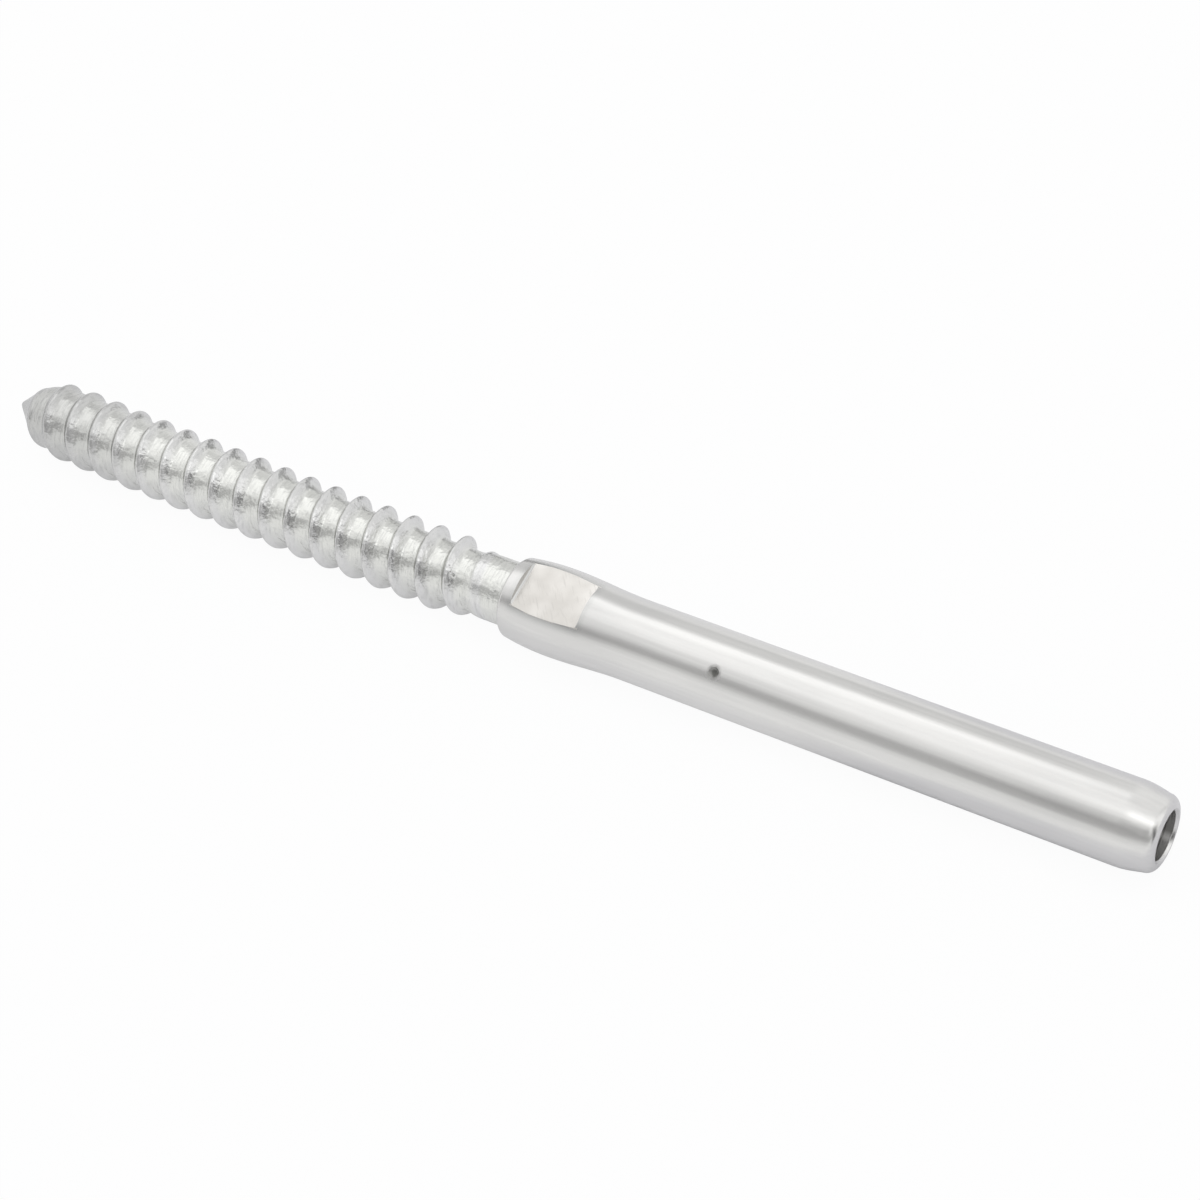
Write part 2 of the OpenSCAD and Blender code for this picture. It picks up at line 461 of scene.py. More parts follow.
# %% Join the thread to the bar
def open_edges(piece):
    """Number of edges that don't have exactly two faces."""
    net = bmesh.new()
    net.from_mesh(piece.data)
    count = sum(1 for edge in net.edges if len(edge.link_faces) != 2)
    net.free()
    return count


bpy.ops.object.select_all(action="DESELECT")
thread.select_set(True)
bar.select_set(True)
bpy.context.view_layer.objects.active = bar
bpy.ops.object.join()
terminal = bpy.context.object
terminal.name = "terminal"
edit(terminal, "EDGE")
select(terminal, "EDGE", lambda edge: edge.is_boundary)
bpy.ops.mesh.bridge_edge_loops()
bpy.ops.mesh.select_all(action="SELECT")
bpy.ops.mesh.normals_make_consistent(inside=False)
bpy.ops.object.mode_set(mode="OBJECT")
print("one piece:", len(terminal.data.polygons), "faces,", open_edges(terminal), "open edges")

# %% [markdown]
# ## Pressing the flats
#
# The two flats for the spanner are pressed into the collar. The faces of the collar could be flattened
# by scaling, but the round mesh has no edges where a flat ends. So a block is taken away on each side
# with the Boolean modifier. The block's own lower edges are rounded first, which leaves a fillet where
# each flat meets its end walls.

# %% Cut the flats
FLAT_LENGTH = 5.9
FLAT_FILLET = 0.22
BLOCK = 8.0


def cut_away(piece, cutter):
    """Takes the cutter's volume from the piece, and deletes the cutter."""
    bpy.ops.object.select_all(action="DESELECT")
    bpy.context.view_layer.objects.active = piece
    piece.select_set(True)
    cut = piece.modifiers.new("cut", "BOOLEAN")
    cut.operation = "DIFFERENCE"
    cut.solver = "EXACT"
    cut.object = cutter
    bpy.ops.object.modifier_apply(modifier=cut.name)
    bpy.data.objects.remove(cutter)


def is_foot(edge):
    """Is this one of the block's two edges that lie across the flat?"""
    first, second = (corner.co for corner in edge.verts)
    on_flat = all(abs(abs(place.z) - flat_z) < SAME_PLACE for place in (first, second))
    return on_flat and abs(first.x - second.x) < SAME_PLACE


def flat_block(side):
    """A block as long as the flat, with its two edges on the flat rounded."""
    bpy.ops.mesh.primitive_cube_add(size=1, location=(flat_x, 0, side * (flat_z + BLOCK / 2)))
    block = bpy.context.object
    block.scale = (FLAT_LENGTH, BLOCK, BLOCK)
    bpy.ops.object.transform_apply(location=True, rotation=True, scale=True)
    edit(block, "EDGE")
    select(block, "EDGE", is_foot)
    bpy.ops.mesh.bevel(offset=FLAT_FILLET, segments=5, affect="EDGES")
    bpy.ops.object.mode_set(mode="OBJECT")
    return block


for side in (1, -1):
    cut_away(terminal, flat_block(side))
print("with flats:", len(terminal.data.polygons), "faces,", open_edges(terminal), "open edges")

# %% [markdown]
# ## A small dent
#
# One small round dent sits on the tube, where something hard hit the steel. A dark spot in the material
# could hint at it, but a true hollow also bends the highlight round it. A ball makes it, as a ball
# would: its radius follows from the dent's width and depth.

# %% Dent the tube
DENT_WIDTH = 0.8
DENT_DEPTH = 0.2
DENT_FROM_MOUTH = 34.3
DENT_TURN = 26.0

ball_r = (DENT_WIDTH**2 / 4 + DENT_DEPTH**2) / (2 * DENT_DEPTH)
dent_way = Matrix.Rotation(math.radians(DENT_TURN), 3, "X") @ Vector((0, 0, 1))
ball_place = Vector((mouth_x - DENT_FROM_MOUTH, 0, 0)) + dent_way * (TUBE_R - DENT_DEPTH + ball_r)
dent_bottom = tuple(ball_place - dent_way * ball_r)
bpy.ops.mesh.primitive_uv_sphere_add(segments=48, ring_count=24, radius=ball_r, location=ball_place)
cut_away(terminal, bpy.context.object)
print("with dent:", len(terminal.data.polygons), "faces,", open_edges(terminal), "open edges")

# %% [markdown]
# ## Softening the edges of the flats
#
# A press leaves no knife edges, and a rounded edge shows as a fine line of light and dark. Only the
# edges that the blocks left are bevelled. They are chosen by place, and by the angle between their two
# faces. A Bevel modifier set to that angle would also find the rim of the dent, which is crisp.

# %% Bevel the edges of the flats
FLAT_EDGE_BEVEL = 0.16
EDGE_ANGLE = 30.0


def is_flat_edge(edge):
    """Is this a sharp edge at a flat?"""
    if len(edge.link_faces) != 2 or edge.calc_face_angle() < math.radians(EDGE_ANGLE):
        return False
    middle = (edge.verts[0].co + edge.verts[1].co) / 2
    return abs(middle.x - flat_x) < FLAT_LENGTH / 2 + SAME_PLACE and abs(middle.z) > flat_z - SAME_PLACE


edit(terminal, "EDGE")
chosen = select(terminal, "EDGE", is_flat_edge)
bpy.ops.mesh.bevel(offset=FLAT_EDGE_BEVEL, segments=3, affect="EDGES", clamp_overlap=True)
bpy.ops.object.mode_set(mode="OBJECT")
print("bevelled", chosen, "edges;", open_edges(terminal), "open edges")

# %% [markdown]
# ## Down to metres
#
# The finished piece is shrunk to metres, and the scale is applied, so that its object sits at the
# origin, unturned and unscaled. Shading is smooth, as the real surfaces are, except at what is still a
# real edge. A Subdivision Surface would smooth too, but the mesh is already fine enough.

# %% Apply the scale and shade
bpy.ops.object.select_all(action="DESELECT")
terminal.select_set(True)
bpy.context.view_layer.objects.active = terminal
terminal.scale = (MM, MM, MM)
bpy.ops.object.transform_apply(location=True, rotation=True, scale=True)
bpy.ops.object.shade_smooth_by_angle(angle=math.radians(EDGE_ANGLE))
terminal.data.name = "terminal"
print("terminal:", sum(len(face.vertices) - 2 for face in terminal.data.polygons), "triangles")

# %% [markdown]
# ## Shader sums in plain Python
#
# A material is a net of nodes. In the editor one would add and link them by hand, and a script that
# does so one by one hides what they say. The class below wraps an output socket, so that 1 - mask or
# noise * 0.2 adds the Math nodes by itself.


# %% A wire that can be added up
class Wire:
    """An output socket of a node. Sums and products of wires add Math nodes."""

    def __init__(self, recipe, socket):
        self.recipe = recipe
        self.socket = socket

    def __add__(self, other):
        return self.recipe.math("ADD", self, other)

    def __radd__(self, other):
        return self.recipe.math("ADD", other, self)

    def __sub__(self, other):
        return self.recipe.math("SUBTRACT", self, other)

    def __rsub__(self, other):
        return self.recipe.math("SUBTRACT", other, self)

    def __mul__(self, other):
        return self.recipe.math("MULTIPLY", self, other)

    def __rmul__(self, other):
        return self.recipe.math("MULTIPLY", other, self)


# %% [markdown]
# ## A recipe of nodes
#
# Every other node comes from one method, which takes the node's type, its settings and its sockets.
# The short methods after it name what a finish is made of: noise, a spread of values, a blend of
# colours, a bump. Places are counted in millimetres on the object itself, so a pattern stays on the
# steel wherever the terminal goes.


# %% A recipe for a finish
class Recipe:
    """The node tree of a material or of the world."""

    def __init__(self, owner):
        owner.use_nodes = True
        self.owner = owner
        self.tree = owner.node_tree
        self.tree.nodes.clear()

    def add(self, kind, settings=None, sockets=None, out=0):
        """Adds a node, applies its settings, fills or links its sockets and returns one output."""
        node = self.tree.nodes.new(kind)
        for name, value in (settings or {}).items():
            if name == "stops":
                self.set_stops(node.color_ramp, value)
            else:
                setattr(node, name, value)
        for name, value in (sockets or {}).items():
            if isinstance(value, Wire):
                self.tree.links.new(value.socket, node.inputs[name])
            else:
                node.inputs[name].default_value = value
        return Wire(self, node.outputs[out]) if node.outputs else None

    def set_stops(self, ramp, stops):
        """Gives a colour ramp its stops, each a place and a colour."""
        while len(ramp.elements) < len(stops):
            ramp.elements.new(1)
        for element, (place, colour) in zip(ramp.elements, stops):
            element.position = place
            element.color = colour

    def math(self, operation, *values):
        """A Math node on wires and numbers."""
        return self.add("ShaderNodeMath", {"operation": operation}, dict(enumerate(values)))

    def millimetres(self):
        """The place on the object, in millimetres."""
        place = self.add("ShaderNodeTexCoord", out="Object")
        return self.add("ShaderNodeVectorMath", {"operation": "SCALE"}, {0: place, "Scale": 1 / MM})

    def axis(self, place, name):
        """One coordinate of a place: X, Y or Z."""
        return self.add("ShaderNodeSeparateXYZ", {}, {0: place}, out=name)

    def noise(self, place, stretch, detail):
        """Soft noise from about 0 to 1, with stretch as the number of blobs to a millimetre on each axis."""
        scaled = self.add("ShaderNodeVectorMath", {"operation": "MULTIPLY"}, {0: place, 1: stretch})
        sockets = {"Vector": scaled, "Scale": 1.0, "Detail": detail, "Roughness": 0.5}
        return self.add("ShaderNodeTexNoise", {"normalize": True}, sockets)

    def spread(self, value, low, high, new_low, new_high):
        """Maps low..high to new_low..new_high, and holds it there."""
        sockets = {0: value, 1: low, 2: high, 3: new_low, 4: new_high}
        return self.add("ShaderNodeMapRange", {"clamp": True}, sockets)

    def blend(self, share, first, second):
        """A mix of two colours."""
        sockets = {0: share, 6: first, 7: second}
        return self.add("ShaderNodeMix", {"data_type": "RGBA"}, sockets, out=2)

    def bump(self, height, depth_mm):
        """A normal from a height of 0 to 1 that is depth_mm deep."""
        sockets = {"Height": height, "Distance": depth_mm * MM, "Strength": 1.0}
        return self.add("ShaderNodeBump", {}, sockets)

    def steel(self, colour, roughness, normal):
        """Finishes the material as bare metal."""
        sockets = {"Base Color": colour, "Metallic": 1.0, "Roughness": roughness, "Normal": normal}
        surface = self.add("ShaderNodeBsdfPrincipled", {}, sockets)
        self.add("ShaderNodeOutputMaterial", {}, {"Surface": surface})
        print(self.owner.name, "has", len(self.tree.nodes), "nodes")


# %% [markdown]
# ## Where the drawn steel is darker
#
# Beside the edges of the flats the collar's colour is painted greyer in a rim half a millimetre wide: a
# painted shade along those edges. The dent is darker. Both could be painted by hand on an image, but a
# distance says it exactly: from the edges of the flats, and from the bottom of the dent.

# %% Painted shade beside the flats, and a dark dent
RIM_CORE = 0.15
RIM_WIDTH = 0.5
DENT_DARK_CORE = 0.4
DENT_DARK_REACH = 0.9
DENT_DARK_RAGGED = 0.4
DENT_DARK_STRETCH = (3.0, 3.0, 3.0)


def shade_beside_flats(recipe, place):
    """1 on the collar beside the edges of a flat, fading to 0 over the rim's width."""
    past_end = recipe.math("ABSOLUTE", recipe.axis(place, "X") - flat_x) - FLAT_LENGTH / 2
    below = flat_z - recipe.math("ABSOLUTE", recipe.axis(place, "Z"))
    beyond = recipe.spread(past_end, 0, RIM_WIDTH, 1, 0)
    return beyond * recipe.spread(below, RIM_CORE, RIM_WIDTH, 1, 0)


def dark_in_dent(recipe, place):
    """1 in the dent, fading to 0 round it with a ragged edge."""
    offset = recipe.add("ShaderNodeVectorMath", {"operation": "SUBTRACT"}, {0: place, 1: dent_bottom})
    away = recipe.add("ShaderNodeVectorMath", {"operation": "LENGTH"}, {0: offset}, out="Value")
    ragged = away + DENT_DARK_RAGGED * recipe.noise(place, DENT_DARK_STRETCH, detail=3)
    return recipe.spread(ragged, DENT_DARK_CORE, DENT_DARK_REACH, 1, 0)


print("dirt lies within", DENT_DARK_REACH, "mm of", [round(v, 2) for v in dent_bottom])

# %% [markdown]
# ## The steel of the tube
#
# The bar was drawn through a die and then tumbled with small stones. That leaves very fine lines along
# the axis under a soft, even shine. The anisotropic setting could smear the highlight instead, but it
# would show no single line. So the lines are noise that is stretched along X. They change the colour
# and the roughness a little and move the normal by less than a hair, which is enough to make a
# highlight streaky. The collar is as rough as the tube, but its colour is painted darker from the tube
# towards the flats: a painted shade that dims the collar's highlight.

# %% Drawn steel
STEEL_DARK = (0.665, 0.66, 0.65, 1)
STEEL_LIGHT = (0.735, 0.73, 0.715, 1)
# Painted shade: the grey along the edges of the flats.
FLAT_EDGE_SHADE_GREY = (0.6, 0.6, 0.59, 1)
# The colour inside and round the dent.
DENT_DARK = (0.17, 0.17, 0.16, 1)
LINE_STRETCH = (0.03, 4.0, 4.0)
LINE_DEPTH = 0.003
LINE_ROUGHNESS = 0.06
CLOUD_STRETCH = (0.12, 0.8, 0.8)
CLOUD_ROUGHNESS = 0.05
TUBE_ROUGHNESS = 0.19
DENT_ROUGHNESS = 0.4
STREAK_RANGE = (0.35, 0.65)
# Painted shade: how much darker the colour is painted towards the collar and flats, and where it fades.
COLLAR_PAINTED_SHADE = 0.2
COLLAR_PAINTED_SHADE_X = (6.8, 14.4)


def drawn_steel():
    """The steel of tube and collar."""
    material = bpy.data.materials.new("drawn_steel")
    recipe = Recipe(material)
    place = recipe.millimetres()
    lines = recipe.noise(place, LINE_STRETCH, detail=3)
    clouds = recipe.noise(place, CLOUD_STRETCH, detail=3)
    # Painted shade: the colour darkens towards the collar, which dims its highlight.
    collar = recipe.spread(recipe.axis(place, "X"), *COLLAR_PAINTED_SHADE_X, COLLAR_PAINTED_SHADE, 0)
    light = recipe.spread(0.55 * clouds + 0.45 * lines - collar, *STREAK_RANGE, 0, 1)
    colour = recipe.blend(light, STEEL_DARK, STEEL_LIGHT)
    # Painted shade: a grey rim beside the edges of the flats.
    colour = recipe.blend(shade_beside_flats(recipe, place), colour, FLAT_EDGE_SHADE_GREY)
    # Darker in and round the dent.
    dent_darkening = dark_in_dent(recipe, place)
    colour = recipe.blend(dent_darkening, colour, DENT_DARK)
    roughness = TUBE_ROUGHNESS + LINE_ROUGHNESS * lines + CLOUD_ROUGHNESS * clouds
    recipe.steel(colour, roughness + DENT_ROUGHNESS * dent_darkening, recipe.bump(lines, LINE_DEPTH))
    return material


drawn = drawn_steel()

# %% [markdown]
# ## The steel of the flats
#
# The flats were pressed by a rougher tool. They are matt, a little warmer and faintly uneven, with
# light scuffs that run askew, and their colour is painted lighter towards +Y: a painted gradient of light
# across each flat. Scratches could be modelled, but these are finer than any mesh. Noise turned by a
# Mapping node and stretched gives them a direction, and a high threshold keeps them sparse.

# %% Pressed steel
PRESSED_DARK = (0.62, 0.6, 0.57, 1)
PRESSED_LIGHT = (0.75, 0.73, 0.7, 1)
PRESSED_CLOUD_STRETCH = (0.5, 0.5, 0.5)
PRESSED_RANGE = (0.3, 0.7)
PRESSED_ROUGHNESS = 0.36
# Painted light: how much lighter the flats are painted per millimetre towards +Y.
PAINTED_LIGHT_PER_MM = 0.04
SCUFFED = (0.56, 0.545, 0.52, 1)
SCUFF_STRETCH = (0.7, 6.0, 1.0)
SCUFF_TURN = math.radians(50)
SCUFF_RANGE = (0.56, 0.72)
SCUFF_STRENGTH = 0.6
SCUFF_DEPTH = 0.8
GRAIN_STRETCH = (3.0, 3.0, 3.0)
GRAIN_ROUGHNESS = 0.12
GRAIN_DEPTH = 0.02


def pressed_steel():
    """The matt steel of the two flats."""
    material = bpy.data.materials.new("pressed_steel")
    recipe = Recipe(material)
    place = recipe.millimetres()
    grain = recipe.noise(place, GRAIN_STRETCH, detail=5)
    clouds = recipe.noise(place, PRESSED_CLOUD_STRETCH, detail=2)
    # Painted light: the colour grows lighter towards +Y across each flat.
    light = recipe.spread(clouds + PAINTED_LIGHT_PER_MM * recipe.axis(place, "Y"), *PRESSED_RANGE, 0, 1)
    colour = recipe.blend(light, PRESSED_DARK, PRESSED_LIGHT)
    turned = recipe.add("ShaderNodeMapping", {}, {"Vector": place, "Rotation": (0, 0, SCUFF_TURN)})
    streaks = recipe.noise(turned, SCUFF_STRETCH, detail=3)
    scuffs = recipe.spread(streaks, *SCUFF_RANGE, 0, SCUFF_STRENGTH)
    colour = recipe.blend(scuffs, colour, SCUFFED)
    roughness = PRESSED_ROUGHNESS + GRAIN_ROUGHNESS * grain
    recipe.steel(colour, roughness, recipe.bump(grain - SCUFF_DEPTH * scuffs, GRAIN_DEPTH))
    return material


pressed = pressed_steel()

# %% [markdown]
# ## The steel of the thread
#
# The rolling dies slide along neck and grooves and press them smooth, but leave fine scratches and
# small pits that glitter. The crests rub on other screws and are duller, and the colour also turns darker
# towards the tip. A second material on the crests would end in a hard line. The height share that was
# kept as an attribute fades one into the other instead.

# %% Rolled steel
ROOT_COLOUR = (0.715, 0.72, 0.69, 1)
CREST_COLOUR = (0.72, 0.72, 0.715, 1)
DULL_COLOUR = (0.44, 0.44, 0.435, 1)
CREST_RANGE = (0.1, 0.9)
DARK_TIP_END = -32.0
DARK_TIP_RAGGED = 2.0
TIP_DARKENING = 0.85
SCRATCH_STRETCH = (6.0, 1.0, 1.0)
SCRATCH_RANGE = (0.5, 0.75)
SCRATCH_DULLNESS = 0.35
RUBBED_RANGE = (0.7, 1)
RUBBED_DULLNESS = 0.15
ROLLED_ROUGHNESS = 0.19
SCRATCH_ROUGHNESS = 0.11
SPOT_STRETCH = (2.2, 2.2, 2.2)
PIT_DEPTH = 0.07


def rolled_steel():
    """The steel of neck, thread and point."""
    material = bpy.data.materials.new("rolled_steel")
    recipe = Recipe(material)
    place = recipe.millimetres()
    height = recipe.add("ShaderNodeAttribute", {"attribute_name": "thread_height"}, out="Fac")
    scratches = recipe.noise(place, SCRATCH_STRETCH, detail=4)
    spots = recipe.noise(place, SPOT_STRETCH, detail=3)
    crest = recipe.spread(height + 0.35 * spots, *CREST_RANGE, 0, 1)
    ragged = recipe.axis(place, "X") + DARK_TIP_RAGGED * spots
    # The colour turns darker towards the tip.
    dark_tip = recipe.spread(ragged, tip_x, DARK_TIP_END, TIP_DARKENING, 0)
    dull_scratches = recipe.spread(scratches, *SCRATCH_RANGE, 0, SCRATCH_DULLNESS)
    dull_crests = recipe.spread(height, *RUBBED_RANGE, 0, RUBBED_DULLNESS)
    dull = dark_tip + dull_scratches + dull_crests
    colour = recipe.blend(dull, recipe.blend(crest, ROOT_COLOUR, CREST_COLOUR), DULL_COLOUR)
    roughness = ROLLED_ROUGHNESS + SCRATCH_ROUGHNESS * scratches
    recipe.steel(colour, roughness, recipe.bump(0.4 * scratches + spots, PIT_DEPTH))
    return material


rolled = rolled_steel()

# %% [markdown]
# ## The steel of the bore
#
# A drill leaves rings, and no tumbling stone reaches the bottom of the bore, so its wall is dull. Its
# colour is painted darker still, a painted shade inside the bore, and one bright line along the wall is a
# painted highlight. A dark colour alone would make the bore look like a painted disc. The rings are noise
# that is squeezed along X, and the painted highlight lies where the distance from a plane through the
# axis is small.

# %% Drilled steel
# Painted shade: dull steel painted darker inside the bore.
BORE_DULL_AND_SHADE = (0.3, 0.295, 0.285, 1)
BORE_ROUGHNESS = 0.35
RING_STRETCH = (8.0, 0.3, 0.3)
RING_ROUGHNESS = 0.2
RING_DEPTH = 0.02
# Painted highlight: one bright line along the wall of the bore.
BORE_HIGHLIGHT_TURN = math.radians(23)
BORE_HIGHLIGHT_CORE = 0.08
BORE_HIGHLIGHT_EDGE = 0.4

beside_bore_highlight = (0, math.cos(BORE_HIGHLIGHT_TURN), math.sin(BORE_HIGHLIGHT_TURN))


def drilled_steel():
    """The dull wall of the bore, with painted shade and a painted highlight."""
    material = bpy.data.materials.new("drilled_steel")
    recipe = Recipe(material)
    place = recipe.millimetres()
    rings = recipe.noise(place, RING_STRETCH, detail=3)
    colour = recipe.blend(0.5 * rings, BORE_DULL_AND_SHADE, STEEL_DARK)
    dot_product = {"operation": "DOT_PRODUCT"}
    beside = recipe.add("ShaderNodeVectorMath", dot_product, {0: place, 1: beside_bore_highlight}, out="Value")
    # Painted highlight: bright where the distance from the plane through the axis is small.
    line = recipe.spread(recipe.math("ABSOLUTE", beside), BORE_HIGHLIGHT_CORE, BORE_HIGHLIGHT_EDGE, 1, 0)
    colour = recipe.blend(line, colour, STEEL_LIGHT)
    roughness = BORE_ROUGHNESS + RING_ROUGHNESS * rings
    recipe.steel(colour, roughness, recipe.bump(rings, RING_DEPTH))
    return material


drilled = drilled_steel()

# %% [markdown]
# ## Which face gets which steel
#
# Each finish ends where its tool stopped: the drill at the lead-in, the press at the edges of the flats
# and the rolling dies at the fillet of the neck. By hand one would select the faces and press Assign.
# The rule below asks each face for its place and for the side that it faces, so it still holds when a
# size changes.

# %% Give each surface its steel
DRAWN, PRESSED, ROLLED, DRILLED = range(4)
WALL_MARGIN = 0.02
FACING_INWARD = 0.01


def finish_of(face):
    """Number of the steel that a face gets."""
    place = face.center / MM
    across = math.hypot(place.y, place.z)
    outward = (place.y * face.normal.y + place.z * face.normal.z) / max(across, SAME_PLACE)
    in_bore = across < bore_r + WALL_MARGIN and place.x > drill_tip_x - SAME_PLACE
    if in_bore and outward <= FACING_INWARD:
        return DRILLED
    if place.x < -NECK_FILLET:
        return ROLLED
    if abs(place.x - flat_x) < FLAT_LENGTH / 2 and abs(abs(place.z) - flat_z) < WALL_MARGIN:
        return PRESSED
    return DRAWN


for steel in (drawn, pressed, rolled, drilled):
    terminal.data.materials.append(steel)
counts = [0, 0, 0, 0]
for face in terminal.data.polygons:
    face.material_index = finish_of(face)
    counts[face.material_index] += 1
print("faces of each steel:", counts)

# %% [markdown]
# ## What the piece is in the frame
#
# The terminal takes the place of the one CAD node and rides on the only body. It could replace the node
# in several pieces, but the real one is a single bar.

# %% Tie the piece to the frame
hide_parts("swage_terminal")
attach(terminal, "root")
print("the terminal replaces its node and rides on the root")

# %% [markdown]
# ## Camera
#
# The picture looks down on the terminal from the side of its mouth with a long lens. By hand one would
# fly the view until it fits. Here the camera's axes are worked out from three angles, because each can
# be corrected on its own: how far the mouth leans towards the camera, how far the upper flat is turned
# past the camera, and how far the camera is rolled.

# %% Place the camera
LEAN = math.radians(25.8)
FLAT_TURN = math.radians(22.9)
ROLL = math.radians(20.01)
PICTURE = 1200
LENS_PX = 2753.9
SENSOR_MM = 36.0
DISTANCE = 207.6 * MM
AIM = Vector((6.58 * MM, 0, 0))
AIM_BELOW_CENTRE_PX = 25.5
CLIP_START = 0.01

level_right = Vector(
    (math.cos(LEAN), math.sin(LEAN) * math.sin(FLAT_TURN), -math.sin(LEAN) * math.cos(FLAT_TURN))
)
level_up = Vector((0, math.cos(FLAT_TURN), math.sin(FLAT_TURN)))
back = level_right.cross(level_up)
right = math.cos(ROLL) * level_right + math.sin(ROLL) * level_up
up = math.cos(ROLL) * level_up - math.sin(ROLL) * level_right
eye = AIM + level_up * (AIM_BELOW_CENTRE_PX / LENS_PX * DISTANCE) + back * DISTANCE

camera_data = bpy.data.cameras.new("camera")
camera_data.sensor_width = SENSOR_MM
camera_data.lens = SENSOR_MM * LENS_PX / PICTURE
camera_data.clip_start = CLIP_START
camera = bpy.data.objects.new("camera", camera_data)
camera.matrix_world = Matrix.Translation(eye) @ Matrix((right, up, back)).transposed().to_4x4()
bpy.context.scene.collection.objects.link(camera)
bpy.context.scene.camera = camera
print("camera at", tuple(round(v / MM, 1) for v in eye), "mm")

# %% [markdown]
# ## Who asks for the light
#
# Light Path tells a shader who asks: the camera, a surface that mirrors, or one that is only lit. More
# lamps could make the floor white too, but then the steel would burn out. So floor and room give each
# of the three its own share of plain white, which this helper works out.


# %% Helper for rays
def by_ray(recipe, seen, mirrored):
    """seen for rays from the camera, mirrored for those that a surface sends on, and 0 for all others."""
    straight = recipe.add("ShaderNodeLightPath", out="Is Camera Ray")
    shiny = recipe.add("ShaderNodeLightPath", out="Is Glossy Ray")
    clear = recipe.add("ShaderNodeLightPath", out="Is Transmission Ray")
    sent_on = recipe.math("MAXIMUM", shiny, clear)
    return recipe.math("MAXIMUM", straight * seen, sent_on * mirrored)


# %% [markdown]
# ## Floor
#
# The terminal lies on a plain white floor. To the camera the floor is nearly white of itself, and only
# a small share of its light comes from the lamps, which leaves a faint shadow. The steel mirrors more of
# the lit floor, and there a painted shade makes it a pale grey close to the piece, growing whiter away from
# it; it is also painted whiter beside the screw than beside the mouth. One plain emission would be
# simpler, but it holds no shadow.

# %% Lay the floor
FLOOR_SIZE = 6.0
FLOOR_GREY = (0.73, 0.73, 0.755, 1)
FLOOR_WHITE_SEEN = 0.95
# Painted shade in reflections: white shares near and far from the piece, and the change along the axis.
FLOOR_WHITE_NEAR = 0.15
FLOOR_WHITE_FAR = 0.85
FLOOR_NEAR_MM = 5.0
FLOOR_FAR_MM = 30.0
FLOOR_SCREW_SIDE = 0.2
FLOOR_MOUTH_SIDE = -0.38
FLOOR_CHANGE_X = (23, 34)


def floor_white():
    """A pale floor that is partly plain white, as much as the ray that asks for it gets."""
    material = bpy.data.materials.new("floor_white")
    recipe = Recipe(material)
    matt = recipe.add("ShaderNodeBsdfDiffuse", {}, {"Color": FLOOR_GREY})
    white = recipe.add("ShaderNodeEmission", {}, {"Color": (1, 1, 1, 1), "Strength": 1.0})
    place = recipe.millimetres()
    # Painted shade: in reflections the floor is greyer close to the piece and whiter beside the screw.
    away = recipe.math("ABSOLUTE", recipe.axis(place, "Y"))
    mirrored = recipe.spread(away, FLOOR_NEAR_MM, FLOOR_FAR_MM, FLOOR_WHITE_NEAR, FLOOR_WHITE_FAR)
    along = recipe.axis(place, "X")
    change = recipe.spread(along, *FLOOR_CHANGE_X, FLOOR_SCREW_SIDE, FLOOR_MOUTH_SIDE)
    share = by_ray(recipe, FLOOR_WHITE_SEEN, mirrored + change)
    surface = recipe.add("ShaderNodeMixShader", {}, {0: share, 1: matt, 2: white})
    recipe.add("ShaderNodeOutputMaterial", {}, {"Surface": surface})
    return material


bpy.ops.object.select_all(action="DESELECT")
bpy.ops.mesh.primitive_plane_add(size=FLOOR_SIZE, location=(0, 0, cad_low.z))
floor = bpy.context.object
floor.name = "floor"
floor.data.materials.append(floor_white())
print("floor at", round(cad_low.z / MM, 2), "mm")

# %% [markdown]
# ## What bare metal shows
#
# Bare metal has hardly any colour of its own: it shows what stands around it. So it is lit with cards,
# as in a product photograph. Most of them stand beside the axis at one distance, like the staves of a
# barrel, and each gives a band along the tube. Area lamps could do that too, but a card can carry a ramp
# of greys, which gives its band soft edges, and it can change along its length, so that screw and tube
# each get their own band. The cards are seen only in reflections.

# %% Helpers for cards
CARD_DISTANCE = 0.3
EVEN = [(0, 1), (1, 1)]


def card(name, size, place, turn, paint):
    """A rectangle that nothing but a reflection shows. size is in metres, turn in radians."""
    bpy.ops.object.select_all(action="DESELECT")
    bpy.ops.mesh.primitive_plane_add(size=1, location=place, rotation=turn)
    made = bpy.context.object
    made.name = name
    made.scale = (*size, 1)
    made.data.materials.append(paint)
    made.visible_camera = False
    made.visible_shadow = False
    made.visible_diffuse = False
    print(name, "is", round(size[0], 3), "by", round(size[1], 3), "m")


def long_card(name, angles, ends, paint):
    """A card beside the axis. Its angles are measured from straight up towards +Y, in degrees."""
    middle = math.radians(sum(angles) / 2)
    width = 2 * CARD_DISTANCE * math.tan(math.radians((angles[1] - angles[0]) / 2))
    away = Vector((0, math.sin(middle), math.cos(middle)))
    place = Vector((sum(ends) / 2, 0, 0)) + away * CARD_DISTANCE
    card(name, (ends[1] - ends[0], width), place, (-middle, 0, 0), paint)


def grey_ramp(recipe, place, stops):
    """Greys along a card. stops are [place, share of the brightness]."""
    shades = [(where, (share, share, share, 1)) for where, share in stops]
    return recipe.add("ShaderNodeValToRGB", {"stops": shades}, {0: place})


